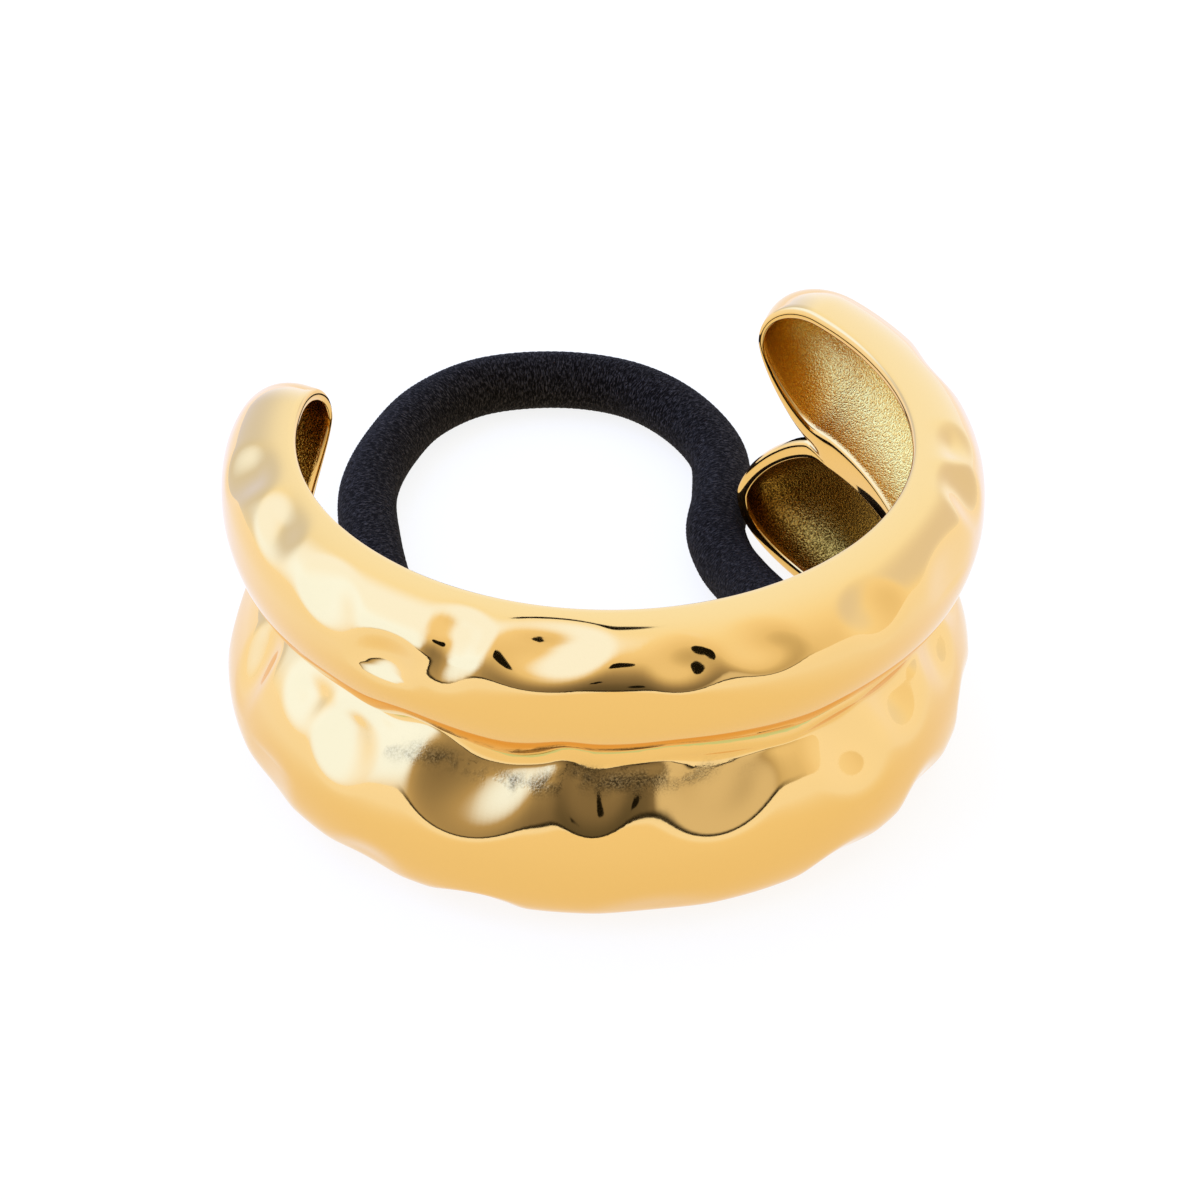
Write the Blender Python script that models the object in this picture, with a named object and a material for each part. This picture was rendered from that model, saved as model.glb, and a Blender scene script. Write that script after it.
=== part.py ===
"""Ponytail cuff: an open ring of two hammered, hollow-backed metal lobes, and its covered elastic.

The ring's axis is Z and its front is at -Y. Lengths are in metres, angles in degrees from the front,
positive towards +X. The cuff is centred over the origin and stands on z = 0.
"""
from collections import namedtuple

import bmesh
import bpy
import numpy as np
from mathutils import Matrix

MM = 0.001

# Ring
INNER_RADIUS = 22.0 * MM  # axis to the rims
UPPER_HEIGHT = 11.7 * MM
LOWER_HEIGHT = 13.6 * MM
SEAM_OVERLAP = 0.5 * MM  # height that the two lobes share, where they are fused
UPPER_DEPTH = 5.6 * MM  # rims to the crest of the dome
LOWER_DEPTH = 5.6 * MM
LEFT_SPAN = 130.8  # front to the left tips
UPPER_RIGHT_SPAN = 135.2
LOWER_RIGHT_SPAN = 139.3

# Walls and rims
WALL = 1.1 * MM
FREE_RIM = 1.1 * MM  # width of the rim along a free edge
SEAM_RIM = 1.7 * MM  # full width of a lobe's rim along the seam
RIM_SWELL = 0.25 * MM  # how far a rim is rounded inwards
LAND_DEPTH = 0.1 * MM  # flat land ground on the lowest edge

# Valley, where the lobes are fused
SEAM_HEIGHT = LOWER_HEIGHT - SEAM_OVERLAP / 2
VALLEY_REACH = 3.0 * MM  # how far from the valley the domes follow its wandering
VALLEY_ROOT = 1.0 * MM  # rims to the bottom of the valley, nearer than which the metal runs level
BAND_DEPTH = 2.1 * MM  # rims to the face of the cast band that fills the valley at the front
BAND_ROOT = 0.5 * MM  # rims to the back of that band, inside the metal
BAND_BELOW = 0.9 * MM  # how far it reaches down from the valley
BAND_ABOVE = 0.25 * MM
BAND_SPAN = 82.0  # front to its two ends
BAND_SINK = 0.6  # its face sinks towards the ends as the cosine of this share of the angle

# Elastic and the sleeve that holds it
ELASTIC_DIAMETER = 4.6 * MM
FIT_GAP = 0.3 * MM
SLEEVE_WALL = 0.8 * MM
SLEEVE_LENGTH = 8.0 * MM
SOLDER_BITE = 0.3 * MM  # how deep the sleeve sits in the web

# Resolution
BODY_STEPS = 64
TIP_STEPS = 6
SKIN_STEPS = 7
POCKET_STEPS = 4
ROW_CROWDING = 1.3  # more than 1 draws the rows across a dome closer towards its edges
SLEEVE_SIDES = 20
BAND_STEPS = 40
ROUTE_STEPS = 2000  # points at which the elastic's route is measured
WELD = 0.001 * MM  # points nearer than this are one

# The plan's departure from a true circle, as a share of the inner radius.
Plan = namedtuple("Plan", "angle flare")
PLAN = [
    Plan(-160, 0.011),
    Plan(-119, 0.027),
    Plan(-60, 0.0),
    Plan(0, 0.0),
    Plan(60, 0.0),
    Plan(100, -0.003),
    Plan(141, 0.054),
]

# The dome round the ring: its depth as a share of the lobe's depth, and the height of its crest as a share
# of the lobe's height.
Section = namedtuple("Section", "angle upper lower upper_crest lower_crest")
SECTIONS = [
    Section(-140, 0.98, 0.83, 0.61, 0.43),
    Section(-90, 0.94, 0.98, 0.59, 0.42),
    Section(-45, 1.01, 0.94, 0.56, 0.43),
    Section(0, 1.05, 0.80, 0.62, 0.43),
    Section(45, 0.90, 0.72, 0.58, 0.43),
    Section(90, 0.95, 0.85, 0.58, 0.43),
    Section(140, 1.18, 0.85, 0.61, 0.43),
]
TIP_FULLNESS = 2.4  # power of the dome's fall towards its tips: 2 is an ellipse, more is squarer
TIP_LEAN = 0.07  # how far a dome's crest leans out past its tip, as a share of the inner radius

# The rims along the seam, as shares of their full width.
Web = namedtuple("Web", "angle upper lower")
WEB = [
    Web(-140, 1.0, 1.0),
    Web(-118, 0.9, 0.9),
    Web(-104, 0.4, 0.85),
    Web(-90, 0.35, 0.9),
    Web(-60, 0.5, 0.9),
    Web(-30, 0.9, 0.9),
    Web(0, 1.0, 0.9),
    Web(30, 0.8, 0.9),
    Web(60, 0.4, 0.9),
    Web(92, 0.4, 0.9),
    Web(107, 0.75, 0.9),
    Web(115, 0.95, 0.9),
    Web(122, 1.05, 0.95),
    Web(141, 1.05, 1.0),
]

# A tip: where it ends, its rim as a share of the free rim, and its rounding of free edge, seam edge and dome
# as shares of the inner radius. The seam edge's oval has its own power: 1 would be a straight cut, 2 is an
# ellipse.
Tip = namedtuple("Tip", "span rim free seam seam_power dome")

# A lobe: its fullness is the power of its section's ovals, on the side of the seam and on the free side.
Lobe = namedtuple("Lobe", "name base height depth seam_below seam_fullness free_fullness left right")
LOWER = Lobe(
    name="lower",
    base=0.0,
    height=LOWER_HEIGHT,
    depth=LOWER_DEPTH,
    seam_below=False,
    seam_fullness=1.8,
    free_fullness=2.35,
    left=Tip(span=LEFT_SPAN, rim=0.5, free=0.27, seam=0.39, seam_power=1.5, dome=0.28),
    right=Tip(span=LOWER_RIGHT_SPAN, rim=0.8, free=0.38, seam=0.34, seam_power=1.5, dome=0.28),
)
UPPER = Lobe(
    name="upper",
    base=LOWER_HEIGHT - SEAM_OVERLAP,
    height=UPPER_HEIGHT,
    depth=UPPER_DEPTH,
    seam_below=True,
    seam_fullness=1.85,
    free_fullness=2.6,
    left=Tip(span=LEFT_SPAN, rim=0.5, free=0.27, seam=0.39, seam_power=1.5, dome=0.28),
    right=Tip(span=UPPER_RIGHT_SPAN, rim=0.5, free=0.24, seam=0.25, seam_power=1.5, dome=0.26),
)
SPINE_END = 0.15  # how far the spine stops short of a tip, as a share of the inner radius

# How far the valley wanders from a level line, as a share of the overlap's height.
Valley = namedtuple("Valley", "angle rise")
VALLEY = [
    Valley(-110, 0.0),
    Valley(-75, 0.2),
    Valley(-62, 0.6),
    Valley(-55, 0.2),
    Valley(-46, 1.8),
    Valley(-41, 1.0),
    Valley(-36, 0.1),
    Valley(-30, -0.2),
    Valley(-26, 0.7),
    Valley(-22, 2.2),
    Valley(-17, 1.6),
    Valley(-13, 1.7),
    Valley(-6, 2.3),
    Valley(2, 1.8),
    Valley(11, 0.9),
    Valley(17, 0.5),
    Valley(23, 1.0),
    Valley(32, 1.2),
    Valley(45, 0.6),
    Valley(70, 0.2),
    Valley(100, 0.0),
]

# Hammered dents: place round the ring, place across the dome from -1 at the lower edge to 1 at the upper,
# length and width as shares of the lobe's height, turn in degrees, depth as a share of the lobe's depth.
# Short of the rims the bowls fade to nothing over DENT_FADE.
DENT_FADE = 25.0
Dent = namedtuple("Dent", "lobe angle across length width turn depth")
DENTS = [
    Dent("upper", -120, 0.10, 0.36, 0.28, 0, 0.09),
    Dent("upper", -97, 0.66, 0.34, 0.26, 0, 0.10),
    Dent("upper", -81, 0.75, 0.42, 0.22, -30, 0.09),
    Dent("upper", -62, 0.50, 0.34, 0.24, -20, 0.09),
    Dent("upper", -49.5, 0.20, 0.32, 0.22, 10, 0.15),
    Dent("upper", -39.5, 0.34, 0.24, 0.20, 50, 0.07),
    Dent("upper", -39, 0.66, 0.22, 0.26, 60, 0.11),
    Dent("upper", -24.5, 0.62, 0.44, 0.28, 10, 0.14),
    Dent("upper", -4.5, 0.50, 0.26, 0.22, 0, 0.09),
    Dent("upper", 8, 0.52, 0.30, 0.22, -15, 0.09),
    Dent("upper", 28, 0.42, 0.30, 0.26, -20, 0.09),
    Dent("upper", 48, 0.26, 0.40, 0.26, 0, 0.07),
    Dent("upper", 62, 0.56, 0.32, 0.26, 30, 0.10),
    Dent("upper", 73, 0.80, 0.30, 0.22, 0, 0.08),
    Dent("upper", 100, 0.30, 0.40, 0.30, 0, 0.09),
    Dent("lower", -112, 0.10, 0.36, 0.26, 0, 0.10),
    Dent("lower", -88, 0.42, 0.22, 0.30, 0, 0.13),
    Dent("lower", -72, 0.60, 0.26, 0.22, -20, 0.10),
    Dent("lower", -61, 0.46, 0.28, 0.26, -20, 0.12),
    Dent("lower", -38, 0.46, 0.40, 0.28, 5, 0.12),
    Dent("lower", -18, 0.52, 0.24, 0.24, 10, 0.07),
    Dent("lower", 2, 0.46, 0.40, 0.28, 5, 0.10),
    Dent("lower", 27, 0.42, 0.36, 0.25, -30, 0.12),
    Dent("lower", 40, 0.52, 0.34, 0.24, -25, 0.11),
    Dent("lower", 57, 0.50, 0.28, 0.24, 0, 0.11),
    Dent("lower", 70, 0.62, 0.24, 0.20, 0, 0.07),
    Dent("lower", 88, 0.20, 0.36, 0.26, 0, 0.08),
    Dent("lower", 115, 0.00, 0.34, 0.26, 0, 0.07),
    Dent("lower", -78, -0.20, 0.36, 0.24, 30, 0.08),
    Dent("lower", -56, -0.42, 0.34, 0.20, 20, 0.09),
    Dent("lower", -37, -0.62, 0.32, 0.18, 10, 0.11),
    Dent("lower", -8, -0.50, 0.40, 0.20, 0, 0.06),
    Dent("lower", 26, -0.60, 0.34, 0.20, 0, 0.08),
    Dent("lower", 48, -0.45, 0.34, 0.22, -20, 0.10),
    Dent("lower", 68, -0.20, 0.36, 0.24, -30, 0.10),
]

# The elastic's centreline in millimetres from the ring's axis and the floor, chosen by hand.
ELASTIC_ROUTE = [
    (0.15, -18.65, 13.25),
    (4.6, -18.55, 13.2),
    (8.6, -16.7, 12.7),
    (11.8, -13.0, 11.2),
    (13.2, -7.5, 9.0),
    (13.3, -1.5, 6.6),
    (13.2, 4.5, 4.6),
    (13.1, 9.5, 3.2),
    (13.0, 13.5, 2.5),
    (13.4, 17.5, 2.35),
    (15.2, 22.0, 2.35),
    (16.6, 28.0, 2.35),
    (15.6, 33.8, 2.35),
    (12.3, 39.2, 2.35),
    (6.8, 42.1, 2.35),
    (1.0, 42.6, 2.35),
    (-3.9, 40.3, 2.35),
    (-7.9, 35.9, 2.35),
    (-11.0, 30.2, 2.35),
    (-12.5, 23.2, 2.35),
    (-13.1, 16.0, 2.5),
    (-13.3, 9.5, 3.2),
    (-13.1, 4.0, 4.6),
    (-13.2, -1.5, 6.6),
    (-13.0, -7.5, 9.0),
    (-11.7, -13.0, 11.2),
    (-8.6, -16.7, 12.7),
    (-4.6, -18.55, 13.2),
    (-0.15, -18.65, 13.25),
]


def clear_scene():
    """Remove what the scene starts with."""
    for thing in list(bpy.data.objects):
        bpy.data.objects.remove(thing)


def smooth_table(at, places, values):
    """A table read as one smooth curve: cubic pieces whose slope at a row is that of its two neighbours."""
    places, values = np.asarray(places, float), np.asarray(values, float)
    slopes = np.gradient(values, places)
    at = np.clip(at, places[0], places[-1])
    row = np.clip(np.searchsorted(places, at) - 1, 0, len(places) - 2)
    step = places[row + 1] - places[row]
    t = (at - places[row]) / step
    return (
        values[row] * (1 + 2 * t) * (1 - t) ** 2
        + slopes[row] * step * t * (1 - t) ** 2
        + values[row + 1] * t**2 * (3 - 2 * t)
        - slopes[row + 1] * step * t**2 * (1 - t)
    )


def ring_radius(angle):
    """Axis to rim at an angle round the ring."""
    flare = smooth_table(angle, [p.angle for p in PLAN], [p.flare for p in PLAN])
    return INNER_RADIUS * (1 + flare)


def table_column(rows, column, along):
    """A column of a table whose rows have angles, read at places along the ring."""
    values = [getattr(row, column) for row in rows]
    return smooth_table(np.degrees(along / INNER_RADIUS), [row.angle for row in rows], values)


def arc(angle):
    """The length along the inner circle that an angle spans."""
    return INNER_RADIUS * np.radians(angle)


def oval(share, power):
    """The height of a unit ellipse of the given power over its middle."""
    return (1 - np.clip(np.abs(share), 0, 1) ** power) ** (1 / power)


class Skin:
    """A lobe's outer skin, or the skin of its pocket, as heights over the unrolled ring.

    Across any section it is two quarter ovals that meet at the spine. Towards a tip its edges close in on
    the spine, and its depth falls away, each along an oval of its own length.
    """

    def __init__(self, lobe, pocket):
        self.lobe = lobe
        self.pocket = pocket
        self.rim = FREE_RIM if pocket else 0.0
        self.wall = WALL if pocket else 0.0

    def limits(self, along):
        """The heights of the two edges away from the tips: the lobe's own, less its rims for the pocket."""
        lobe = self.lobe
        seam = SEAM_RIM * table_column(WEB, lobe.name, along) if self.pocket else 0.0
        bottom = lobe.base + (seam if lobe.seam_below else self.rim)
        top = lobe.base + lobe.height - (self.rim if lobe.seam_below else seam)
        return bottom, top

    def tip_reach(self, along, kind):
        """The way to the nearer tip, and the length over which it rounds that kind of edge."""
        left, right = self.lobe.left, self.lobe.right
        side = np.asarray(along) < 0
        rim = self.rim * np.where(side, left.rim, right.rim)
        span = np.where(side, arc(left.span), arc(right.span)) - rim
        length = np.where(side, getattr(left, kind), getattr(right, kind)) * INNER_RADIUS - rim
        return span - np.abs(along), length

    def rounding(self, along, kind):
        """The fall from 1 to 0 before the nearer tip."""
        reach, length = self.tip_reach(along, kind)
        seam_power = np.where(np.asarray(along) < 0, self.lobe.left.seam_power, self.lobe.right.seam_power)
        power = {"free": 2.0, "seam": seam_power, "dome": TIP_FULLNESS}[kind]
        return oval(1 - np.clip(reach / length, 0, 1), power)

    def spine(self, along):
        """The height of the crest, where the section's two quarter ovals meet."""
        bottom, top = self.limits(along)
        return bottom + table_column(SECTIONS, self.lobe.name + "_crest", along) * (top - bottom)

    def edges(self, along):
        """The heights of the lower and the upper edge."""
        low, high = ("seam", "free") if self.lobe.seam_below else ("free", "seam")
        bottom, top = self.limits(along)
        spine = self.spine(along)
        return (
            spine - (spine - bottom) * self.rounding(along, low),
            spine + (top - spine) * self.rounding(along, high),
        )

    def crest(self, along):
        """The depth of the skin at the spine."""
        full = self.lobe.depth * table_column(SECTIONS, self.lobe.name, along) - self.wall
        return full * self.rounding(along, "dome")

    def surface(self, along, height):
        """Place along the ring, height and depth on the skin, dented along its own normal."""
        bottom, top = self.edges(along)
        spine = self.spine(along)
        crest = np.maximum(self.crest(along), 1e-9)
        above = height > spine
        half = np.maximum(np.where(above, top - spine, spine - bottom), 1e-9)
        across = np.clip((height - spine) / half, -1, 1)
        free_side = above == self.lobe.seam_below
        power = np.where(free_side, self.lobe.free_fullness, self.lobe.seam_fullness)
        depth = crest * oval(across, power)
        outward = (depth / crest) ** (power - 1) / crest
        upward = np.sign(across) * np.abs(across) ** (power - 1) / half
        size = np.maximum(np.hypot(outward, upward), 1e-9)
        dent = self.dents(along, np.arcsin(across), (half + crest) / 2)
        rise = 0.0 if self.pocket else wandering(along, height) * np.clip(depth / VALLEY_ROOT, 0, 1)
        return (
            along + self.lean(along, depth),
            height - dent * upward / size + rise,
            depth - dent * outward / size,
        )

    def lean(self, along, depth):
        """How far the skin leans out past its rim towards the nearer tip, more the deeper it is."""
        reach, length = self.tip_reach(along, "dome")
        near = np.clip(1 - reach / (2 * length), 0, 1) ** 2
        return np.sign(along) * TIP_LEAN * INNER_RADIUS * near * depth / self.lobe.depth

    def dents(self, along, turn, girth):
        """The depth of the dents, each a smooth oval bowl that dies out before the rims."""
        lobe = self.lobe
        total = np.zeros(np.broadcast(along, turn).shape)
        for dent in (d for d in DENTS if d.lobe == lobe.name):
            away = (along - arc(dent.angle)) * (1 + lobe.depth / INNER_RADIUS)
            up = (turn - dent.across * np.pi / 2) * girth
            lean = np.radians(dent.turn)
            long_way = (away * np.cos(lean) + up * np.sin(lean)) / (dent.length * lobe.height)
            short_way = (up * np.cos(lean) - away * np.sin(lean)) / (dent.width * lobe.height)
            bowl = np.clip(1 - long_way**2 - short_way**2, 0, None) ** 2
            total = total + dent.depth * lobe.depth * bowl
        fade = np.clip((np.pi / 2 - np.abs(turn)) / np.radians(DENT_FADE), 0, 1)
        return total * fade * fade * (3 - 2 * fade)


def wandering(along, height):
    """How far a point near the valley follows it up or down."""
    rise = SEAM_OVERLAP * table_column(VALLEY, "rise", along)
    return rise * np.exp(-(((height - SEAM_HEIGHT) / VALLEY_REACH) ** 2))


def stations(lobe, skin):
    """The outline's points and the spine's points across from them, once round the lobe."""
    left, right = (arc(tip.span) - SPINE_END * INNER_RADIUS for tip in (lobe.left, lobe.right))
    body = np.linspace(-left, right, BODY_STEPS + 1)
    fan = np.sin(np.linspace(0, np.pi / 2, TIP_STEPS + 1))
    to_left = -left - fan[1:] * (SPINE_END * INNER_RADIUS - skin.rim * lobe.left.rim)
    to_right = right + fan[1:] * (SPINE_END * INNER_RADIUS - skin.rim * lobe.right.rim)
    upper = np.concatenate([to_right[::-1], body[::-1], to_left])
    lower = np.concatenate([to_left[-2::-1], body, to_right[:-1]])
    along = np.concatenate([upper, lower])
    height = np.concatenate([skin.edges(upper)[1], skin.edges(lower)[0]])
    root = np.clip(along, -left, right)
    return along, height, root, skin.spine(root)


def skin_grid(lobe, pocket, steps):
    """Rows of points from the spine to the edge, one for each station round the lobe."""
    skin = Skin(lobe, pocket)
    along, height, root, spine = stations(lobe, skin)
    share = np.sin(np.pi / 2 * (1 - np.linspace(1, 0, steps + 1) ** ROW_CROWDING))
    across_along = root[:, None] + (along - root)[:, None] * share
    across_height = spine[:, None] + (height - spine)[:, None] * share
    return skin.surface(across_along, across_height)


def rolled_up(along, height, depth):
    """Points of the unrolled ring, wrapped round its axis."""
    angle = np.degrees(along / INNER_RADIUS)
    radius = ring_radius(angle) + depth
    points = [
        radius * np.sin(np.radians(angle)),
        -radius * np.cos(np.radians(angle)),
        np.maximum(height, LAND_DEPTH),
    ]
    return np.stack(points, axis=-1)


def lobe_points(lobe):
    """The closed surface of a lobe: crest, outer skin, rounded rim, pocket and its crest."""
    outer = np.stack(skin_grid(lobe, False, SKIN_STEPS), axis=-1)
    inner = np.stack(skin_grid(lobe, True, POCKET_STEPS), axis=-1)[:, ::-1]
    rim = (outer[:, -1:] + inner[:, :1]) / 2
    rim[..., 2] = -RIM_SWELL
    return rolled_up(*np.moveaxis(np.concatenate([outer, rim, inner], axis=1), -1, 0))


def band_points():
    """The band that fills the valley: four edges along the ring, which run together at its two ends."""
    share = np.linspace(-1, 1, BAND_STEPS + 1)
    along = arc(BAND_SPAN) * share
    taper = np.sqrt(1 - share**2)
    face = BAND_DEPTH * np.cos(BAND_SINK * along / INNER_RADIUS)
    thickness = (face - BAND_ROOT) * taper
    rise = SEAM_HEIGHT + wandering(along, SEAM_HEIGHT)
    corners = [(BAND_ABOVE, 0.0), (BAND_ABOVE, 1.0), (-BAND_BELOW, 1.0), (-BAND_BELOW, 0.0)]
    edges = [
        rolled_up(along, rise + above * taper, BAND_ROOT + out * thickness) for above, out in corners
    ]
    return np.stack(edges)


def closed_mesh(name, points):
    """A mesh of a grid that closes on itself in its first direction, with coinciding points welded."""
    rounds, across = points.shape[:2]
    first = np.arange(rounds)[:, None] * across + np.arange(across - 1)
    following = (np.arange(rounds)[:, None] + 1) % rounds * across + np.arange(across - 1)
    faces = np.stack([first, first + 1, following + 1, following], axis=-1).reshape(-1, 4)
    mesh = bpy.data.meshes.new(name)
    mesh.from_pydata(points.reshape(-1, 3).tolist(), [], faces.tolist())
    edit = bmesh.new()
    edit.from_mesh(mesh)
    bmesh.ops.remove_doubles(edit, verts=edit.verts, dist=WELD)
    bmesh.ops.recalc_face_normals(edit, faces=edit.faces)
    edit.to_mesh(mesh)
    edit.free()
    mesh.shade_smooth()
    return mesh


def rod_mesh(name, radius, length):
    """A closed cylinder along X, centred on its origin."""
    edit = bmesh.new()
    bmesh.ops.create_cone(
        edit, cap_ends=True, segments=SLEEVE_SIDES, radius1=radius, radius2=radius, depth=length
    )
    bmesh.ops.rotate(edit, verts=edit.verts, matrix=Matrix.Rotation(np.pi / 2, 3, "Y"))
    mesh = bpy.data.meshes.new(name)
    edit.to_mesh(mesh)
    edit.free()
    return mesh


def material(name, color, metallic, roughness):
    """A plain Principled material."""
    made = bpy.data.materials.new(name)
    made.use_nodes = True
    shader = made.node_tree.nodes["Principled BSDF"]
    shader.inputs["Base Color"].default_value = (*color, 1)
    shader.inputs["Metallic"].default_value = metallic
    shader.inputs["Roughness"].default_value = roughness
    return made


def add_object(name, data, location, made_of=None, tool=False):
    """Place an object in the scene. A tool only shapes another object, and is drawn as wire."""
    thing = bpy.data.objects.new(name, data)
    thing.location = location
    bpy.context.collection.objects.link(thing)
    if made_of:
        data.materials.append(made_of)
    if tool:
        thing.hide_render = True
        thing.display_type = "WIRE"
    return thing


def combine(body, tool, operation):
    """Join a tool to a body, or cut it out, with a Boolean modifier."""
    step = body.modifiers.new(tool.name, "BOOLEAN")
    step.operation = operation
    step.solver = "EXACT"
    step.object = tool


def build_cuff(metal, points, centre):
    """Both lobes, the valley's band and the sleeve, fused, with the elastic's bore open from end to end."""
    body = add_object("cuff_shell", closed_mesh("cuff_shell", points["upper"]), centre, metal)
    lower = add_object("lower_lobe", closed_mesh("lower_lobe", points["lower"]), centre, metal, True)
    band = add_object("valley_band", closed_mesh("valley_band", band_points()), centre, metal, True)
    bore = ELASTIC_DIAMETER / 2 + FIT_GAP
    outside = bore + SLEEVE_WALL
    front = ring_radius(0.0) - RIM_SWELL + SOLDER_BITE - outside
    place = (centre[0], centre[1] - front, centre[2] + SEAM_HEIGHT)
    sleeve = add_object("sleeve", rod_mesh("sleeve", outside, SLEEVE_LENGTH), place, metal, True)
    drill = add_object("bore", rod_mesh("bore", bore, 1.5 * SLEEVE_LENGTH), place, None, True)
    combine(body, lower, "UNION")
    combine(body, band, "UNION")
    combine(body, sleeve, "UNION")
    combine(body, drill, "DIFFERENCE")
    return body


def smooth_route(route, step):
    """Points a step apart on a smooth curve through the route's own points."""
    route = np.asarray(route)
    knots = np.concatenate([[0], np.cumsum(np.linalg.norm(np.diff(route, axis=0), axis=1))])
    fine = np.linspace(0, knots[-1], ROUTE_STEPS)
    curve = np.stack([smooth_table(fine, knots, route[:, i]) for i in range(3)], axis=-1)
    length = np.concatenate([[0], np.cumsum(np.linalg.norm(np.diff(curve, axis=0), axis=1))])
    at = np.linspace(0, length[-1], round(length[-1] / step) + 1)
    return np.stack([np.interp(at, length, curve[:, i]) for i in range(3)], axis=-1)


def build_elastic(cover, centre):
    """The elastic loop: one tube whose two ends meet inside the sleeve."""
    line = smooth_route(np.array(ELASTIC_ROUTE) * MM, ELASTIC_DIAMETER)
    curve = bpy.data.curves.new("elastic_loop", "CURVE")
    curve.dimensions = "3D"
    curve.bevel_depth = ELASTIC_DIAMETER / 2
    curve.bevel_resolution = 4
    curve.use_fill_caps = True
    spline = curve.splines.new("POLY")
    spline.points.add(len(line) - 1)
    spline.points.foreach_set("co", np.column_stack([line, np.ones(len(line))]).ravel())
    return add_object("elastic_loop", curve, centre, cover)


def main():
    clear_scene()
    points = {lobe.name: lobe_points(lobe) for lobe in (UPPER, LOWER)}
    both = np.concatenate([p.reshape(-1, 3) for p in points.values()])
    middle = (both.min(axis=0) + both.max(axis=0)) / 2
    centre = (-middle[0], -middle[1], -both[:, 2].min())
    gold = material("polished_gold", (0.83, 0.56, 0.22), 1.0, 0.12)
    knit = material("black_knit", (0.012, 0.012, 0.016), 0.0, 0.85)
    build_cuff(gold, points, centre)
    build_elastic(knit, (centre[0], centre[1], 0.0))


main()
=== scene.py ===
"""Looks of the ponytail cuff: hammered gold-tone shell with sandy pockets, its elastic, and a white table.

The ring's axis is vertical and its closed front faces -Y. Lengths are in metres. Angles round the ring are
in degrees from the front, positive towards +X.
"""
from collections import namedtuple

import bmesh
import bpy
import numpy as np
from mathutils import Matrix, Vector


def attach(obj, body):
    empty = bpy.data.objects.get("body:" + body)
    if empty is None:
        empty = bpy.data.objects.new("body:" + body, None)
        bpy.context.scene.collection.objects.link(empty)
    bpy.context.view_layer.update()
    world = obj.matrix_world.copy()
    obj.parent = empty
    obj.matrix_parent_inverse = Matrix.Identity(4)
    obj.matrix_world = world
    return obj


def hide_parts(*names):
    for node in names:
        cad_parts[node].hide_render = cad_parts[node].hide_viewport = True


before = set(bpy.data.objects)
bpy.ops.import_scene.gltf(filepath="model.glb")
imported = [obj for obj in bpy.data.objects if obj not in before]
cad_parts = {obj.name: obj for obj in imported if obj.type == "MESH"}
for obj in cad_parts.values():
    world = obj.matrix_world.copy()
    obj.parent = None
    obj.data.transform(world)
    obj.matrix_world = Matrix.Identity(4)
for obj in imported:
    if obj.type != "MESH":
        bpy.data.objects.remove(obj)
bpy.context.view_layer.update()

# Camera
# A long lens looks down on the closed front, from a little to its left.
MM = 0.001
RING_AXIS = np.array([0.32, 4.138]) * MM  # where the ring's axis meets the table
CAMERA_AZIMUTH = -15.44  # degrees from the front, positive towards +X
CAMERA_ELEVATION = 34.49
CAMERA_DISTANCE = 377.8 * MM
CAMERA_LENS = 155.96  # millimetres, on a sensor 36 mm wide
CAMERA_LEVEL = 12.74 * MM  # height of the point on the ring's axis that the distance is measured from
AIM_POINT = np.array([-0.565, 3.177, 11.05]) * MM

turn, tilt = np.radians([CAMERA_AZIMUTH, CAMERA_ELEVATION])
to_camera = np.array([np.sin(turn) * np.cos(tilt), -np.cos(turn) * np.cos(tilt), np.sin(tilt)])
eye = np.array([*RING_AXIS, CAMERA_LEVEL]) + CAMERA_DISTANCE * to_camera
camera = bpy.data.objects.new("camera", bpy.data.cameras.new("camera"))
camera.data.lens = CAMERA_LENS
camera.data.clip_start = 10 * MM
camera.location = eye
camera.rotation_euler = Vector(AIM_POINT - eye).to_track_quat("-Z", "Y").to_euler()
bpy.context.collection.objects.link(camera)
bpy.context.scene.camera = camera

# Elastic loop
# A soft rubber ring in a black knitted cover. It runs through the sleeve at the inside front, and both its
# legs come down to the table and lie there in a loop behind the cuff.
ELASTIC_DIAMETER = 4.6 * MM
ELASTIC_RINGS = 1150
ELASTIC_SIDES = 80
ROUTE_STEPS = 8000  # points of the fine curve along which the rings are spaced
COURSE = 0.36 * MM  # length of one row of the knit
WALES = 34  # stitches round the cover
STITCH_HEIGHT = 0.06 * MM
LUMP_HEIGHT = 0.05 * MM
FIBRE_WIDTH = 0.13 * MM
FIBRE_LENGTH = 0.42 * MM
FIBRE_DARK, FIBRE_LIGHT = (0.0020, 0.0014, 0.0009), (0.055, 0.044, 0.032)
FIBRE_RANGE = (0.48, 0.66)  # noise at which a fibre is dark and light
FIBRE_DETAIL, FIBRE_TEXTURE, FIBRE_BEND = 3, 0.7, 0.6
FIBRE_BUMP, FIBRE_HEIGHT = 0.8, 0.12 * MM
KNIT_ROUGHNESS = 0.9
KNIT_SHEEN, KNIT_SHEEN_ROUGHNESS, KNIT_SHEEN_TINT = 0.03, 0.4, (1.0, 0.8, 0.6)
KNIT_SPECULAR, KNIT_SPECULAR_TINT = 0.08, (1.0, 0.75, 0.45)

# The slow lumps of the rubber under the cover, as waves: the length along the cord over which one turns by a
# radian, how many there are round the cord, and where it starts.
Lump = namedtuple("Lump", "length waves start")
LUMPS = [
    Lump(2.9 * MM, 2, 0.0),
    Lump(4.7 * MM, -1, 1.3),
    Lump(1.7 * MM, 3, 0.0),
]

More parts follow.
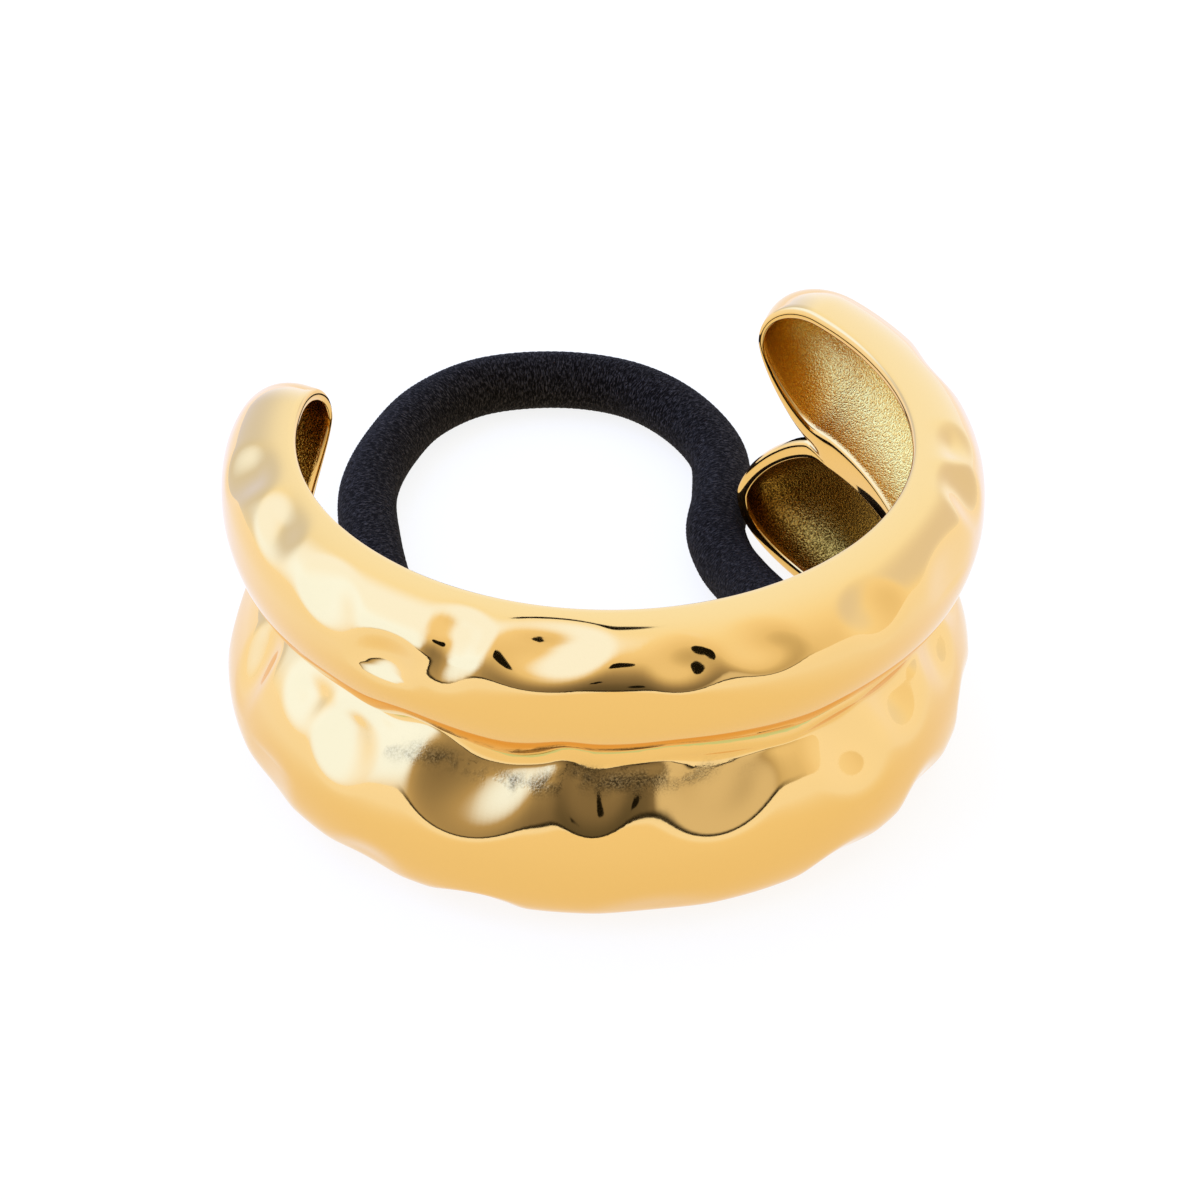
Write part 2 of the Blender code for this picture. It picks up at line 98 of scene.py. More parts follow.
# The centreline in millimetres from the ring's axis and the table.
ELASTIC_ROUTE = [
    (0.15, -18.65, 13.25),
    (4.6, -18.55, 13.2),
    (8.6, -16.7, 12.7),
    (11.8, -13.0, 11.2),
    (13.2, -7.5, 9.0),
    (13.3, -1.5, 6.6),
    (13.2, 4.5, 4.6),
    (13.1, 9.5, 3.2),
    (13.0, 13.5, 2.5),
    (13.4, 17.5, 2.35),
    (15.2, 22.0, 2.35),
    (16.6, 28.0, 2.35),
    (15.6, 33.8, 2.35),
    (12.3, 39.2, 2.35),
    (6.8, 42.1, 2.35),
    (1.0, 42.6, 2.35),
    (-3.9, 40.3, 2.35),
    (-7.9, 35.9, 2.35),
    (-11.0, 30.2, 2.35),
    (-12.5, 23.2, 2.35),
    (-13.1, 16.0, 2.5),
    (-13.3, 9.5, 3.2),
    (-13.1, 4.0, 4.6),
    (-13.2, -1.5, 6.6),
    (-13.0, -7.5, 9.0),
    (-11.7, -13.0, 11.2),
    (-8.6, -16.7, 12.7),
    (-4.6, -18.55, 13.2),
    (-0.15, -18.65, 13.25),
]


def smooth_table(at, places, values):
    """A table read as one smooth curve: between two rows the value is the cubic whose ends are theirs, and
    whose slope at each row is the mean of the slopes to either side."""
    places, values = np.asarray(places, float), np.asarray(values, float)
    slopes = np.gradient(values, places)
    at = np.clip(at, places[0], places[-1])
    row = np.clip(np.searchsorted(places, at) - 1, 0, len(places) - 2)
    step = places[row + 1] - places[row]
    t = (at - places[row]) / step
    return (
        values[row] * (1 + 2 * t) * (1 - t) ** 2
        + slopes[row] * step * t * (1 - t) ** 2
        + values[row + 1] * t**2 * (3 - 2 * t)
        - slopes[row + 1] * step * t**2 * (1 - t)
    )


def smooth_route(route, count):
    """Evenly spaced points on the smooth curve through a route's own points, and its length."""
    knots = np.concatenate([[0], np.cumsum(np.linalg.norm(np.diff(route, axis=0), axis=1))])
    fine = np.linspace(0, knots[-1], ROUTE_STEPS)
    curve = np.stack([smooth_table(fine, knots, route[:, i]) for i in range(3)], axis=-1)
    length = np.concatenate([[0], np.cumsum(np.linalg.norm(np.diff(curve, axis=0), axis=1))])
    at = np.linspace(0, length[-1], count)
    return np.stack([np.interp(at, length, curve[:, i]) for i in range(3)], axis=-1), length[-1]


def tube_points(line, radius):
    """Rings round a line: centre + radius times (cos b sideways + sin b upwards), b once round the tube. The
    sideways direction is level and square to the line. radius is a number or a grid of rings by sides."""
    along = np.gradient(line, axis=0)
    along /= np.linalg.norm(along, axis=1, keepdims=True)
    sideways = np.cross(along, [0.0, 0.0, 1.0])
    sideways /= np.linalg.norm(sideways, axis=1, keepdims=True)
    upwards = np.cross(sideways, along)
    b = np.linspace(-np.pi / 2, 3 * np.pi / 2, np.shape(radius)[1], endpoint=False)[None, :, None]
    ring = np.cos(b) * sideways[:, None] + np.sin(b) * upwards[:, None]
    return line[:, None] + np.asarray(radius)[..., None] * ring


def grid_faces(rows, columns, close_rows, close_columns):
    """The four-sided faces of a grid of points, which may close on itself in either direction."""
    i = np.arange(rows if close_rows else rows - 1)[:, None]
    j = np.arange(columns if close_columns else columns - 1)[None, :]
    here, right = i * columns + j, i * columns + (j + 1) % columns
    above, across = (i + 1) % rows * columns + j, (i + 1) % rows * columns + (j + 1) % columns
    return np.stack([here, above, across, right], axis=-1).reshape(-1, 4)


def new_mesh(name, points, faces):
    """A smooth-shaded mesh from an array of points and an array of four-sided faces."""
    mesh = bpy.data.meshes.new(name)
    mesh.vertices.add(len(points))
    mesh.vertices.foreach_set("co", np.ascontiguousarray(points, np.float32).ravel())
    mesh.loops.add(faces.size)
    mesh.loops.foreach_set("vertex_index", faces.astype(np.int32).ravel())
    mesh.polygons.add(len(faces))
    mesh.polygons.foreach_set("loop_start", np.arange(0, faces.size, 4, dtype=np.int32))
    mesh.update(calc_edges=True)
    mesh.shade_smooth()
    return mesh


def set_values(mesh, name, values):
    """Store one number for each vertex, under a name that a material can read."""
    layer = mesh.attributes.new(name, "FLOAT", "POINT")
    layer.data.foreach_set("value", np.ascontiguousarray(values, np.float32).ravel())


def add_piece(name, mesh, material):
    """Put a finished mesh in the scene as a piece that rides on the cuff's one body."""
    piece = bpy.data.objects.new(name, mesh)
    mesh.materials.append(material)
    bpy.context.collection.objects.link(piece)
    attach(piece, "root")
    return piece


def new_material(name, color, metallic, roughness):
    """A Principled material, with its nodes, links and shader ready for more."""
    made = bpy.data.materials.new(name)
    made.use_nodes = True
    shader = made.node_tree.nodes["Principled BSDF"]
    shader.inputs["Base Color"].default_value = (*color, 1)
    shader.inputs["Metallic"].default_value = metallic
    shader.inputs["Roughness"].default_value = roughness
    return made, made.node_tree.nodes, made.node_tree.links, shader


def knit_radius(rings, sides, length):
    """The cover's radius: R - h (1 + cos 2 pi (c + sin^2(pi w) / 2)) / 2 plus the mean of the lumps, c being
    the courses along the cord, w the wales round it, and h the height of a stitch."""
    u = np.linspace(0, length, rings)[:, None]
    b = np.linspace(0, 2 * np.pi, sides, endpoint=False)[None, :]
    course = u / COURSE
    wale = b * WALES / (2 * np.pi)
    stitch = 0.5 + 0.5 * np.cos(2 * np.pi * (course + 0.5 * np.sin(np.pi * wale) ** 2))
    lumps = sum(np.sin(u / lump.length + lump.waves * b + lump.start) for lump in LUMPS)
    return ELASTIC_DIAMETER / 2 - STITCH_HEIGHT * stitch + LUMP_HEIGHT * lumps / len(LUMPS)


def knit_material():
    """Black knit: charcoal yarn with short lighter fibres that lie across the cord, also as a fine bump."""
    made, nodes, links, shader = new_material("black_knit_cover", FIBRE_DARK, 0.0, KNIT_ROUGHNESS)
    shader.inputs["Sheen Weight"].default_value = KNIT_SHEEN
    shader.inputs["Sheen Roughness"].default_value = KNIT_SHEEN_ROUGHNESS
    shader.inputs["Sheen Tint"].default_value = (*KNIT_SHEEN_TINT, 1)
    shader.inputs["Specular IOR Level"].default_value = KNIT_SPECULAR
    shader.inputs["Specular Tint"].default_value = (*KNIT_SPECULAR_TINT, 1)
    place = nodes.new("ShaderNodeCombineXYZ")
    for attribute, axis in (("along_cord", "X"), ("round_cord", "Y")):
        read = nodes.new("ShaderNodeAttribute")
        read.attribute_name = attribute
        links.new(read.outputs["Fac"], place.inputs[axis])
    fibres = nodes.new("ShaderNodeTexNoise")
    fibres.inputs["Scale"].default_value = 1.0  # the attributes count fibres already
    fibres.inputs["Detail"].default_value = FIBRE_DETAIL
    fibres.inputs["Roughness"].default_value = FIBRE_TEXTURE
    fibres.inputs["Distortion"].default_value = FIBRE_BEND
    links.new(place.outputs["Vector"], fibres.inputs["Vector"])
    shades = nodes.new("ShaderNodeValToRGB")
    for element, spot, shade in zip(shades.color_ramp.elements, FIBRE_RANGE, (FIBRE_DARK, FIBRE_LIGHT)):
        element.position = spot
        element.color = (*shade, 1)
    links.new(fibres.outputs["Fac"], shades.inputs["Fac"])
    links.new(shades.outputs["Color"], shader.inputs["Base Color"])
    bump = nodes.new("ShaderNodeBump")
    bump.inputs["Strength"].default_value = FIBRE_BUMP
    bump.inputs["Distance"].default_value = FIBRE_HEIGHT
    links.new(fibres.outputs["Fac"], bump.inputs["Height"])
    links.new(bump.outputs["Normal"], shader.inputs["Normal"])
    return made


route = np.array(ELASTIC_ROUTE) * MM + np.array([*RING_AXIS, 0.0])
elastic_line, elastic_length = smooth_route(route, ELASTIC_RINGS)
elastic_skin = tube_points(elastic_line, knit_radius(ELASTIC_RINGS, ELASTIC_SIDES, elastic_length))
elastic_mesh = new_mesh(
    "elastic_cord", elastic_skin.reshape(-1, 3), grid_faces(ELASTIC_RINGS, ELASTIC_SIDES, False, True)
)
along_cord = np.linspace(0, elastic_length / FIBRE_WIDTH, ELASTIC_RINGS)
round_cord = np.linspace(0, np.pi * ELASTIC_DIAMETER / FIBRE_LENGTH, ELASTIC_SIDES)
set_values(elastic_mesh, "along_cord", np.repeat(along_cord, ELASTIC_SIDES))
set_values(elastic_mesh, "round_cord", np.tile(round_cord, ELASTIC_RINGS))
edit = bmesh.new()
edit.from_mesh(elastic_mesh)
bmesh.ops.holes_fill(edit, edges=[e for e in edit.edges if e.is_boundary], sides=0)
bmesh.ops.recalc_face_normals(edit, faces=edit.faces)
edit.to_mesh(elastic_mesh)
edit.free()
elastic = add_piece("elastic_cord", elastic_mesh, knit_material())
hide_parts("elastic_loop")

# Cuff shell
# Two lobes cast in one piece: each is a dome outside and a pocket inside, with a polished rim. They are
# fused along a valley, part at both ends into two tips, and are dented as if by a round hammer.
INNER_RADIUS = 22.0 * MM  # axis to the rims
UPPER_HEIGHT = 11.7 * MM
LOWER_HEIGHT = 13.6 * MM
SEAM_OVERLAP = 0.5 * MM  # height that the two lobes share
UPPER_DEPTH = 5.6 * MM  # rims to the crest of the dome
LOWER_DEPTH = 5.6 * MM
LEFT_SPAN = 130.8  # front to the left tips
UPPER_RIGHT_SPAN = 135.2
LOWER_RIGHT_SPAN = 139.3
WALL = 1.1 * MM
FREE_RIM = 1.1 * MM  # width of the rim along a free edge
SEAM_RIM = 1.7 * MM  # full width of a lobe's rim along the seam
RIM_SWELL = 0.25 * MM  # how far a rim is rounded inwards
FLOOR_DROP = 0.1 * MM  # how much of the lowest edge is ground away
TIP_FULLNESS = 2.4  # power of the oval along which a dome falls towards its tips, 2 for an ellipse
TIP_LEAN = 0.07  # how far a dome's crest leans out past its tip, as a share of the inner radius
SPINE_END = 0.15  # how far the spine stops short of a tip, as a share of the inner radius
FUSE_POWER = 5.0  # how sharply the two domes meet in the valley
SEAM_FILL = 2.1 * MM  # depth of the flat cast band that fills the valley at the front
SEAM_FILL_LEAN = 0.17  # how much deeper the band gets per length downwards
SEAM_FILL_REACH = 1.5 * MM
SEAM_FILL_TURN = 0.6  # turn of the cosine by which the band gets shallower, per angle round the ring
SEAM_FILL_POWER = 14.0  # how sharply the band meets the domes
VALLEY_REACH = 3.0 * MM  # how far from the valley the domes follow its wandering
CROTCH = 2.5 * MM  # way from a fork to where the two rims are one band
CREASE_TURN = 80.0  # degrees of rounding that each rim loses where they meet, 90 if there were no crease
CREASE_DROP = 1.0 * MM  # how much lower the crease between the rims is than the valley outside
DENT_FADE = 25.0  # degrees round a dome over which its dents die out towards the edge

GOLD = (0.86, 0.515, 0.145)
POLISH = 0.05  # roughness of the polished skin
SAND_ROUGHNESS = 0.24
SAND_LOW, SAND_HIGH = (0.88, 0.48, 0.080), (1.0, 0.74, 0.185)
SHADED_SAND_LOW, SHADED_SAND_HIGH = (0.15, 0.073, 0.007), (0.66, 0.37, 0.053)  # the same sand in painted shade, for the shaded parts of the pockets
SHADE_FROM, SHADE_FULL = -70.0, -118.0  # degrees over which the painted shade in the upper pocket deepens to the left
CAST_LOW, CAST_HIGH = (0.10, 0.062, 0.020), (0.58, 0.38, 0.135)
SAND_SCALE, SAND_DETAIL = 6800.0, 3.0  # noise of the sandy grains
SPECK_RANGE = (0.40, 0.62)  # that noise from a dark grain to a light one
SAND_BUMP, SAND_HEIGHT = 0.6, 0.13 * MM
CAST_SCALE, CAST_DETAIL = 520.0, 5.0  # noise that breaks up the strip left as cast
CAST_RANGE = (0.40, 0.56)  # that noise from polished to as cast
CAST_BUMP = 0.35  # the height of the strip's grains as a share of the sand's
# A painted reflection along the upper side of the valley: a less orange gold that offsets the orange light
# bouncing between the lobes there.
VALLEY_REFLECTION_TINT = (0.60, 0.52, 0.15)
VALLEY_WIDTH = 1.3 * MM  # way up from the valley over which the painted reflection tint fades out
GRAIN_WAY = 1.7 * MM  # from the valley down to the middle of the grainy strip
GRAIN_WIDTH = 0.55 * MM
GRAIN_MIDDLE, GRAIN_SPAN, GRAIN_FADE = -25.0, 38.0, 26.0  # degrees round the ring that the strip covers

STATION_STEP = 0.40 * MM  # way along the ring from one point of a lobe's outline to the next
TIP_STEPS = 26  # points from the end of the spine round to a tip
OUTER_ROWS = 34
RIM_ROWS = 7
POCKET_ROWS = 14
ROW_CROWDING = 1.15  # above 1, the rows lie closer towards the edge
FORK_STEPS = 6001  # places along the ring at which the forks are looked for
WELD = 0.004 * MM  # points closer than this are one
TINY = 1e-9  # keeps a length that is divided by from being zero

# The plan's departure from a true circle, as a share of the inner radius.
Plan = namedtuple("Plan", "angle flare")
PLAN = [
    Plan(-160, 0.011),
    Plan(-119, 0.027),
    Plan(-60, 0.0),
    Plan(0, 0.0),
    Plan(60, 0.0),
    Plan(100, -0.003),
    Plan(141, 0.054),
]

# The dome round the ring: its depth as a share of the lobe's depth, and the height of its crest as a share
# of the lobe's height.
Section = namedtuple("Section", "angle upper lower upper_crest lower_crest")
SECTIONS = [
    Section(-140, 0.98, 0.83, 0.61, 0.43),
    Section(-90, 0.94, 0.98, 0.59, 0.42),
    Section(-45, 1.01, 0.94, 0.56, 0.43),
    Section(0, 1.05, 0.80, 0.62, 0.43),
    Section(45, 0.90, 0.72, 0.58, 0.43),
    Section(90, 0.95, 0.85, 0.58, 0.43),
    Section(140, 1.18, 0.85, 0.61, 0.43),
]

# The rims along the seam, as shares of their full width.
Web = namedtuple("Web", "angle upper lower")
WEB = [
    Web(-140, 1.0, 1.0),
    Web(-118, 0.9, 0.9),
    Web(-104, 0.4, 0.85),
    Web(-90, 0.35, 0.9),
    Web(-60, 0.5, 0.9),
    Web(-30, 0.9, 0.9),
    Web(0, 1.0, 0.9),
    Web(30, 0.8, 0.9),
    Web(60, 0.4, 0.9),
    Web(92, 0.4, 0.9),
    Web(107, 0.75, 0.9),
    Web(115, 0.95, 0.9),
    Web(122, 1.05, 0.95),
    Web(141, 1.05, 1.0),
]

# A tip: where it ends, its rim as a share of the free rim, and its rounding of free edge, seam edge and dome
# as shares of the inner radius. The seam edge's oval has its own power: 1 would be a straight cut, 2 is an
# ellipse.
Tip = namedtuple("Tip", "span rim free seam seam_power dome")

# A lobe: its foot over the table, its height and depth, whether the seam is its lower edge, the powers of its
# section's ovals on the seam's side and on the free side, and its tips.
Lobe = namedtuple("Lobe", "name base height depth seam_below seam_fullness free_fullness left right")
LOWER = Lobe(
    name="lower",
    base=0.0,
    height=LOWER_HEIGHT,
    depth=LOWER_DEPTH,
    seam_below=False,
    seam_fullness=1.8,
    free_fullness=2.35,
    left=Tip(span=LEFT_SPAN, rim=0.5, free=0.27, seam=0.39, seam_power=1.5, dome=0.28),
    right=Tip(span=LOWER_RIGHT_SPAN, rim=0.8, free=0.38, seam=0.34, seam_power=1.5, dome=0.28),
)
UPPER = Lobe(
    name="upper",
    base=LOWER_HEIGHT - SEAM_OVERLAP,
    height=UPPER_HEIGHT,
    depth=UPPER_DEPTH,
    seam_below=True,
    seam_fullness=1.85,
    free_fullness=2.6,
    left=Tip(span=LEFT_SPAN, rim=0.5, free=0.27, seam=0.39, seam_power=1.5, dome=0.28),
    right=Tip(span=UPPER_RIGHT_SPAN, rim=0.5, free=0.24, seam=0.25, seam_power=1.5, dome=0.26),
)

# How far the valley wanders from a level line, as a share of the overlap's height.
Valley = namedtuple("Valley", "angle rise")
VALLEY = [
    Valley(-110, 0.0),
    Valley(-75, 0.2),
    Valley(-62, 0.6),
    Valley(-55, 0.2),
    Valley(-46, 1.8),
    Valley(-41, 1.0),
    Valley(-36, 0.1),
    Valley(-30, -0.2),
    Valley(-26, 0.7),
    Valley(-22, 2.2),
    Valley(-17, 1.6),
    Valley(-13, 1.7),
    Valley(-6, 2.3),
    Valley(2, 1.8),
    Valley(11, 0.9),
    Valley(17, 0.5),
    Valley(23, 1.0),
    Valley(32, 1.2),
    Valley(45, 0.6),
    Valley(70, 0.2),
    Valley(100, 0.0),
]

# Hammered dents: place round the ring, place across the dome from -1 at the lower edge to 1 at the upper,
# length and width as shares of the lobe's height, turn in degrees, depth as a share of the lobe's depth.
Dent = namedtuple("Dent", "lobe angle across length width turn depth")
DENTS = [
    Dent("upper", -120, 0.10, 0.36, 0.28, 0, 0.09),
    Dent("upper", -97, 0.66, 0.34, 0.26, 0, 0.10),
    Dent("upper", -81, 0.75, 0.42, 0.22, -30, 0.09),
    Dent("upper", -62, 0.50, 0.34, 0.24, -20, 0.09),
    Dent("upper", -49.5, 0.20, 0.32, 0.22, 10, 0.15),
    Dent("upper", -39.5, 0.34, 0.24, 0.20, 50, 0.07),
    Dent("upper", -39, 0.66, 0.22, 0.26, 60, 0.11),
    Dent("upper", -24.5, 0.62, 0.44, 0.28, 10, 0.14),
    Dent("upper", -4.5, 0.50, 0.26, 0.22, 0, 0.09),
    Dent("upper", 8, 0.52, 0.30, 0.22, -15, 0.09),
    Dent("upper", 28, 0.42, 0.30, 0.26, -20, 0.09),
    Dent("upper", 48, 0.26, 0.40, 0.26, 0, 0.07),
    Dent("upper", 62, 0.56, 0.32, 0.26, 30, 0.10),
    Dent("upper", 73, 0.80, 0.30, 0.22, 0, 0.08),
    Dent("upper", 100, 0.30, 0.40, 0.30, 0, 0.09),
    Dent("lower", -112, 0.10, 0.36, 0.26, 0, 0.10),
    Dent("lower", -88, 0.42, 0.22, 0.30, 0, 0.13),
    Dent("lower", -72, 0.60, 0.26, 0.22, -20, 0.10),
    Dent("lower", -61, 0.46, 0.28, 0.26, -20, 0.12),
    Dent("lower", -38, 0.46, 0.40, 0.28, 5, 0.12),
    Dent("lower", -18, 0.52, 0.24, 0.24, 10, 0.07),
    Dent("lower", 2, 0.46, 0.40, 0.28, 5, 0.10),
    Dent("lower", 27, 0.42, 0.36, 0.25, -30, 0.12),
    Dent("lower", 40, 0.52, 0.34, 0.24, -25, 0.11),
    Dent("lower", 57, 0.50, 0.28, 0.24, 0, 0.11),
    Dent("lower", 70, 0.62, 0.24, 0.20, 0, 0.07),
    Dent("lower", 88, 0.20, 0.36, 0.26, 0, 0.08),
    Dent("lower", 115, 0.00, 0.34, 0.26, 0, 0.07),
    Dent("lower", -78, -0.20, 0.36, 0.24, 30, 0.08),
    Dent("lower", -56, -0.42, 0.34, 0.20, 20, 0.09),
    Dent("lower", -37, -0.62, 0.32, 0.18, 10, 0.11),
    Dent("lower", -8, -0.50, 0.40, 0.20, 0, 0.06),
    Dent("lower", 26, -0.60, 0.34, 0.20, 0, 0.08),
    Dent("lower", 48, -0.45, 0.34, 0.22, -20, 0.10),
    Dent("lower", 68, -0.20, 0.36, 0.24, -30, 0.10),
]


def arc(angle):
    """The length along the inner circle that an angle spans."""
    return INNER_RADIUS * np.radians(angle)


def ring_radius(angle):
    """Axis to rim: R (1 + flare of the plan)."""
    return INNER_RADIUS * (1 + smooth_table(angle, [p.angle for p in PLAN], [p.flare for p in PLAN]))


def oval(share, power):
    """The height of a unit ellipse of the given power over its middle: (1 - |share|^power)^(1/power)."""
    return (1 - np.clip(np.abs(share), 0, 1) ** power) ** (1 / power)


def table_column(rows, column, along):
    """A column of a table whose rows have angles, read at places along the ring."""
    values = [getattr(row, column) for row in rows]
    return smooth_table(np.degrees(along / INNER_RADIUS), [row.angle for row in rows], values)


class Skin:
    """A lobe's outer skin, or the skin of its pocket, as heights over the unrolled ring.

    Across any section it is two quarter ovals that meet at the spine. Towards a tip its edges close in on
    the spine, and its depth falls away, each along an oval of its own length.
    """

    def __init__(self, lobe, pocket):
        self.lobe = lobe
        self.pocket = pocket
        self.rim = FREE_RIM if pocket else 0.0
        self.wall = WALL if pocket else 0.0

    def limits(self, along):
        """The heights of the two edges away from the tips: the lobe's own, less its rims for the pocket."""
        lobe = self.lobe
        seam = SEAM_RIM * table_column(WEB, lobe.name, along) if self.pocket else 0.0
        bottom = lobe.base + (seam if lobe.seam_below else self.rim)
        top = lobe.base + lobe.height - (self.rim if lobe.seam_below else seam)
        return bottom, top

    def tip_reach(self, along, kind):
        """The way to the nearer tip, and the length over which it rounds that kind of edge."""
        left, right = self.lobe.left, self.lobe.right
        side = np.asarray(along) < 0
        rim = self.rim * np.where(side, left.rim, right.rim)
        span = np.where(side, arc(left.span), arc(right.span)) - rim
        length = np.where(side, getattr(left, kind), getattr(right, kind)) * INNER_RADIUS - rim
        return span - np.abs(along), length

    def rounding(self, along, kind):
        """The fall from 1 to 0 before the nearer tip: the oval of 1 - reach / length."""
        reach, length = self.tip_reach(along, kind)
        seam_power = np.where(np.asarray(along) < 0, self.lobe.left.seam_power, self.lobe.right.seam_power)
        power = {"free": 2.0, "seam": seam_power, "dome": TIP_FULLNESS}[kind]
        return oval(1 - np.clip(reach / length, 0, 1), power)

    def spine(self, along):
        """The height of the crest, where the section's two quarter ovals meet."""
        bottom, top = self.limits(along)
        return bottom + table_column(SECTIONS, self.lobe.name + "_crest", along) * (top - bottom)

    def edges(self, along):
        """The heights of the lower and the upper edge."""
        low, high = ("seam", "free") if self.lobe.seam_below else ("free", "seam")
        bottom, top = self.limits(along)
        spine = self.spine(along)
        return (
            spine - (spine - bottom) * self.rounding(along, low),
            spine + (top - spine) * self.rounding(along, high),
        )

    def crest(self, along):
        """The depth of the skin at the spine."""
        full = self.lobe.depth * table_column(SECTIONS, self.lobe.name, along) - self.wall
        return full * self.rounding(along, "dome")

    def quarter(self, along, height):
        """The quarter oval that a point belongs to: its height, the point's share of it, and its fullness."""
        bottom, top = self.edges(along)
        spine = self.spine(along)
        above = height > spine
        half = np.maximum(np.where(above, top - spine, spine - bottom), TINY)
        fullness = np.where(above == self.lobe.seam_below, self.lobe.free_fullness, self.lobe.seam_fullness)
        return half, np.clip((height - spine) / half, -1, 1), fullness

    def depth(self, along, height):
        """The depth of the undented skin."""
        _, across, fullness = self.quarter(along, height)
        return self.crest(along) * oval(across, fullness)


SKINS = {(lobe.name, pocket): Skin(lobe, pocket) for lobe in (LOWER, UPPER) for pocket in (False, True)}

# The forks, where the seam edges of the two lobes part.
fine = np.linspace(-arc(LEFT_SPAN), arc(UPPER_RIGHT_SPAN), FORK_STEPS)
shared = SKINS["lower", False].edges(fine)[1] - SKINS["upper", False].edges(fine)[0]
left_half, right_half = fine < 0, fine > 0
FORK_LEFT = np.interp(0, shared[left_half], fine[left_half])
FORK_RIGHT = np.interp(0, shared[right_half][::-1], fine[right_half][::-1])


def seam_line(along):
    """The level valley's height: midway between the two lobes' seam edges."""
    return (SKINS["lower", False].edges(along)[1] + SKINS["upper", False].edges(along)[0]) / 2


def seam_fill(along, height):
    """The depth of the band that fills the valley: (full cos(turn a) - lean z) exp(-(z / reach)^4), a being
    the angle round the ring and z the height over the seam."""
    over = height - seam_line(along)
    full = SEAM_FILL * np.cos(SEAM_FILL_TURN * along / INNER_RADIUS) - SEAM_FILL_LEAN * over
    return np.clip(full, 0, None) * np.exp(-((over / SEAM_FILL_REACH) ** 4))


def wandering(along, height):
    """How far a point of the outer skin follows the valley up: rise exp(-(way from the valley / reach)^2)."""
    rise = SEAM_OVERLAP * table_column(VALLEY, "rise", along)
    return rise * np.exp(-(((height - seam_line(along)) / VALLEY_REACH) ** 2))


def smooth_step(share):
    """0 to 1 with level ends: 3 s^2 - 2 s^3."""
    share = np.clip(share, 0, 1)
    return share * share * (3 - 2 * share)


def togetherness(along):
    """0 at a fork, 1 where the two rims have become one band."""
    return smooth_step(np.minimum(along - FORK_LEFT, FORK_RIGHT - along) / CROTCH)


def stations(lobe, rim):
    """Once round the lobe's outline: the place along the ring, the place on the spine across from it, whether
    it is on the upper side, and whether the other lobe is fused on there."""
    start = SPINE_END * INNER_RADIUS - arc(lobe.left.span)
    stop = arc(lobe.right.span) - SPINE_END * INNER_RADIUS
    marks = [start, FORK_LEFT, FORK_RIGHT, stop]
    runs = [
        np.linspace(a, b, max(2, round((b - a) / STATION_STEP)), endpoint=False)
        for a, b in zip(marks, marks[1:])
    ]
    body = np.concatenate([*runs, [stop]])
    fan = np.sin(np.linspace(0, np.pi / 2, TIP_STEPS + 1))
    to_left = start - fan[1:] * (SPINE_END * INNER_RADIUS - rim * lobe.left.rim)
    to_right = stop + fan[1:] * (SPINE_END * INNER_RADIUS - rim * lobe.right.rim)
    along = np.concatenate([to_right[::-1], body[::-1], to_left, to_left[-2::-1], body, to_right[:-1]])
    upper_side = np.arange(len(along)) < len(body) + 2 * TIP_STEPS
    fused = (upper_side != lobe.seam_below) & (along >= FORK_LEFT) & (along <= FORK_RIGHT)
    return along, np.clip(along, start, stop), upper_side, fused


def dents(lobe, along, turn, girth):
    """The depth of the dents. Each is a bowl d (1 - x^2 - y^2)^2 over an oval, x and y being the ways along
    and across it as shares of its size."""
    stretch = 1 + lobe.depth / INNER_RADIUS
    total = np.zeros(np.broadcast(along, turn).shape)
    for dent in (d for d in DENTS if d.lobe == lobe.name):
        away = (along - arc(dent.angle)) * stretch
        up = (turn - dent.across * np.pi / 2) * girth
        lean = np.radians(dent.turn)
        long_way = (away * np.cos(lean) + up * np.sin(lean)) / (dent.length * lobe.height)
        short_way = (up * np.cos(lean) - away * np.sin(lean)) / (dent.width * lobe.height)
        total += dent.depth * lobe.depth * np.clip(1 - long_way**2 - short_way**2, 0, None) ** 2
    return total


def skin_grid(lobe, pocket, rows):
    """Rows of points from the spine to the edge, a station each round the lobe, as places along the ring,
    heights and depths. A row's share of the way is the sine of its turn round the dome."""
    skin, other = SKINS[lobe.name, pocket], SKINS["upper" if lobe is LOWER else "lower", False]
    along, root, upper_side, fused = stations(lobe, skin.rim)
    bottom, top = skin.edges(along)
    edge = np.where(upper_side, top, bottom)
    if not pocket:
        edge = np.where(fused, seam_line(along), edge)
    last_turn = np.arcsin(np.abs(skin.quarter(along, edge)[1]))
    last_turn = np.where(fused, last_turn, np.pi / 2)[:, None]
    steps = 1 - np.linspace(1, 0, rows + 1) ** ROW_CROWDING
    share = np.sin(last_turn * steps) / np.sin(last_turn)
    spine = skin.spine(root)[:, None]
    along = root[:, None] + (along - root)[:, None] * share
    height = spine + (edge[:, None] - spine) * share
    half, across, fullness = skin.quarter(along, height)
    crest = np.maximum(skin.crest(along), TINY)
    depth = crest * oval(across, fullness)
    outward = (depth / crest) ** (fullness - 1) / crest
    upward = np.sign(across) * np.abs(across) ** (fullness - 1) / half
    size = np.maximum(np.hypot(outward, upward), TINY)
    turn = np.arcsin(across)
    fade = smooth_step((last_turn - np.abs(turn)) / np.radians(DENT_FADE))
    dent = dents(lobe, along, turn, (half + crest) / 2) * fade
    if not pocket:
        beside = other.depth(along, height)
        depth = (depth**FUSE_POWER + beside**FUSE_POWER) ** (1 / FUSE_POWER)
        fill = seam_fill(along, height)
        depth = (depth**SEAM_FILL_POWER + fill**SEAM_FILL_POWER) ** (1 / SEAM_FILL_POWER)
    reach, length = skin.tip_reach(along, "dome")
    near = np.clip(1 - reach / (2 * length), 0, 1)
    lean = np.sign(along) * TIP_LEAN * INNER_RADIUS * near**2 * depth / lobe.depth
    return along + lean, height - dent * upward / size, depth - dent * outward / size


